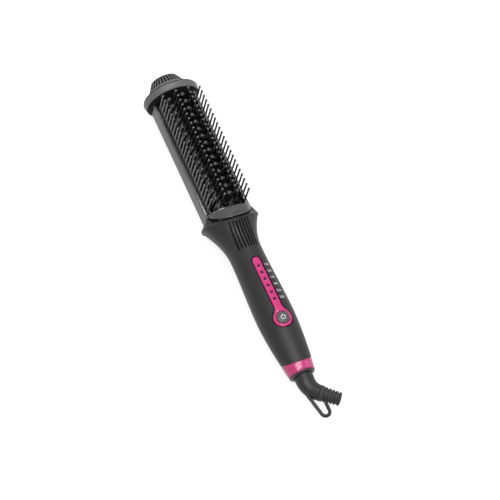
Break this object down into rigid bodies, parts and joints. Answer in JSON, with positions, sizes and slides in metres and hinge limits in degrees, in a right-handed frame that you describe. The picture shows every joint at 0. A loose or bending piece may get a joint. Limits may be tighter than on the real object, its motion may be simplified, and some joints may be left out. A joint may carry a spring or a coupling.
{
  "type": "steam hair straightener brush",
  "caption": "One-handed heated straightening brush with ball-tipped pins between thick heated teeth, a pull-out water tank, a power button and a turning cord neck with a hanging loop.",
  "frame": {"origin": "middle of the underside of the bounding box, on the surface that the brush lies on", "axes": "+Y along the brush towards its tip, +Z away from the surface on the bristle side, +X to the right as the bristle side is seen with the tip up"},
  "size_m": [0.052, 0.3436, 0.0534],
  "materials": {
    "tip_plastic": "satin ribbed plastic",
    "head_plastic": "satin plastic",
    "rail_plastic": "satin plastic",
    "handle_plastic": "soft-touch plastic",
    "pink_plastic": "polished plastic",
    "button_plastic": "polished plastic",
    "light_plastic": "dark see-through plastic",
    "led_plastic": "clear resin",
    "pin_nylon": "glossy nylon",
    "heated_coating": "glossy heat-proof coating",
    "heatproof_plastic": "glass-filled plastic",
    "heater_ceramic": "fired ceramic",
    "bare_aluminium": "mill finish",
    "insulation": "mica sheet",
    "red_wire": "silicone sleeve",
    "blue_wire": "silicone sleeve",
    "wick_felt": "felt",
    "seal_rubber": "silicone rubber",
    "black_plastic": "satin plastic",
    "screw_steel": "zinc plated",
    "switch_metal": "tinned",
    "clip_steel": "spring steel",
    "board_laminate": "solder mask",
    "capacitor_plastic": "moulded box",
    "bush_plastic": "natural acetal",
    "neck_plastic": "satin plastic",
    "contact_brass": "bare",
    "boot_rubber": "matte rubber"
  },
  "bodies": {
    "brush": {"tip_cap": "tip_plastic", "tip_flange": "head_plastic", "tip_screws": "screw_steel", "head_back_shell": "head_plastic", "left_rail": "rail_plastic", "right_rail": "rail_plastic", "bristle_pad": "pin_nylon", "heating_plate": "heated_coating", "heater_carrier": "heatproof_plastic", "carrier_screws": "screw_steel", "ceramic_heater": "heater_ceramic", "heater_clamp": "bare_aluminium", "insulation_sheet": "insulation", "thermistor": "black_plastic", "thermal_fuse": "bare_aluminium", "heater_leads": "red_wire", "evaporator": "bare_aluminium", "wick": "wick_felt", "tank_seal": "seal_rubber", "head_collar": "black_plastic", "collar_screws": "screw_steel", "shoulder_ring": "handle_plastic", "handle_front_shell": "handle_plastic", "handle_back_shell": "handle_plastic", "handle_screws": "screw_steel", "control_panel": "pink_plastic", "light_guides": "light_plastic", "indicator_leds": "led_plastic", "button_switch": "switch_metal", "circuit_board": "board_laminate", "board_screws": "screw_steel", "triac": "black_plastic", "capacitor": "capacitor_plastic", "controller_chip": "black_plastic", "supply_leads": "blue_wire", "tail_ring": "pink_plastic", "tail_cap": "black_plastic", "swivel_bush": "bush_plastic", "contact_springs": "contact_brass", "contact_block": "black_plastic"},
    "button": {"power_button": "button_plastic", "switch_plunger": "black_plastic"},
    "tank": {"water_tank": "rail_plastic"},
    "plug": {"tank_plug": "seal_rubber"},
    "cord_neck": {"swivel_neck": "neck_plastic", "strain_relief": "boot_rubber", "hanging_loop": "neck_plastic", "slip_rings": "contact_brass", "neck_clip": "clip_steel"}
  },
  "joints": [
    {"name": "button_press", "type": "slide", "parent": "brush", "child": "button", "axis": [0, 0, -1], "range_m": [0, 0.0006], "stiffness_N_per_m": 3000, "springref_m": -0.0004},
    {"name": "tank_pull", "type": "slide", "parent": "brush", "child": "tank", "axis": [0, 0, 1], "range_m": [0, 0.026]},
    {"name": "plug_pull", "type": "slide", "parent": "tank", "child": "plug", "axis": [0, 0, -1], "range_m": [0, 0.004]},
    {"name": "neck_turn", "type": "hinge", "parent": "brush", "child": "cord_neck", "pos_m": [0, -0.13037, 0.021], "axis": [0, 1, 0], "continuous": true}
  ]
}
